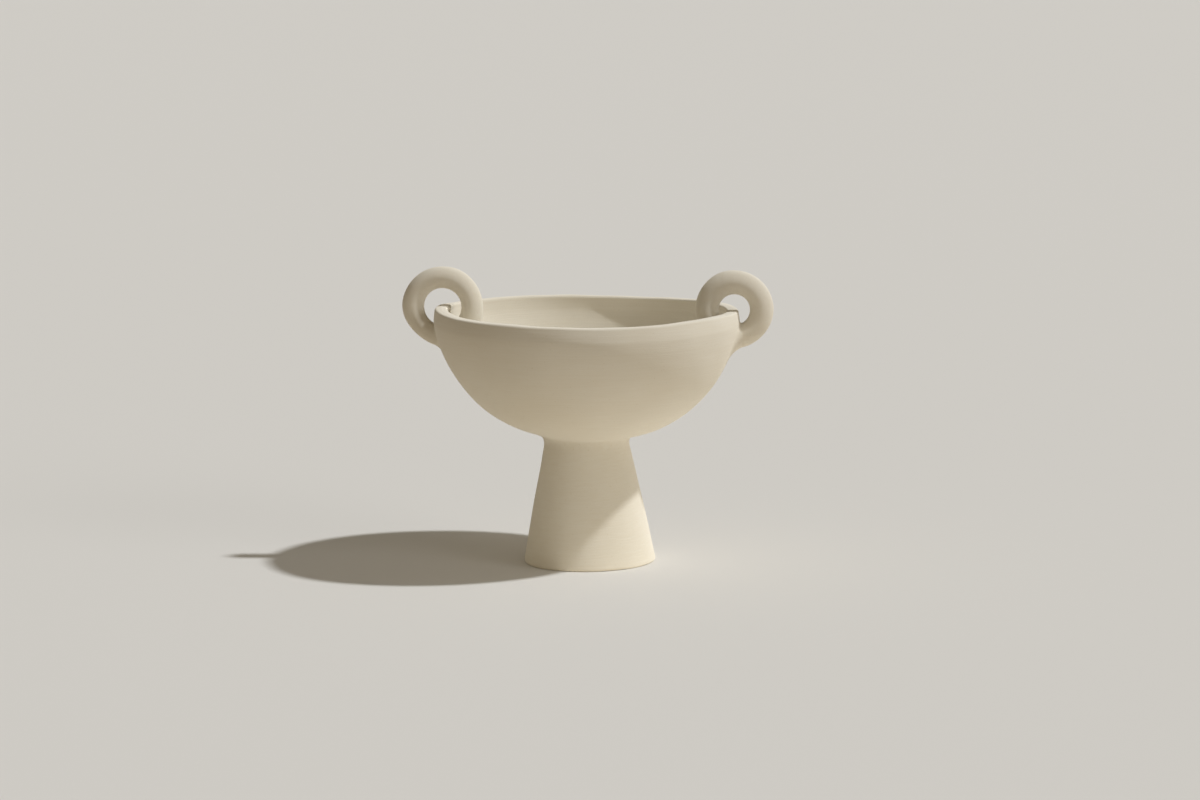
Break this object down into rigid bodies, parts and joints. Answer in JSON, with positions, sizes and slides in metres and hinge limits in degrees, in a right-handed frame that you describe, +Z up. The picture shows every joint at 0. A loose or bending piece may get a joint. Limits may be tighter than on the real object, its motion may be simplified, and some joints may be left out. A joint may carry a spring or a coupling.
{
  "type": "footed fruit bowl",
  "caption": "Round unglazed stoneware bowl on a hollow tapered pedestal, with a ring-shaped handle astride the rim on each side, for holding fruit.",
  "frame": {"origin": "centre of the object's bounding box at the level that the foot stands on, on the bowl's upright axis", "axes": "+X through both handles towards the right-hand one, +Y across the handles, +Z up along the bowl's axis"},
  "size_m": [0.3101, 0.2536, 0.2475],
  "materials": {
    "bowl_clay": "matte, unglazed, faint turning marks",
    "foot_clay": "matte, unglazed, scraped smooth",
    "ring_clay": "matte, unglazed, rolled and sponged",
    "joint_clay": "matte, unglazed, worked smooth"
  },
  "bodies": {
    "root": {"bowl_shell": "bowl_clay", "pedestal_foot": "foot_clay", "left_ring_handle": "ring_clay", "right_ring_handle": "ring_clay", "neck_coil": "joint_clay", "left_outer_root_coil": "joint_clay", "left_inner_root_coil": "joint_clay", "right_outer_root_coil": "joint_clay", "right_inner_root_coil": "joint_clay"}
  },
  "joints": []
}
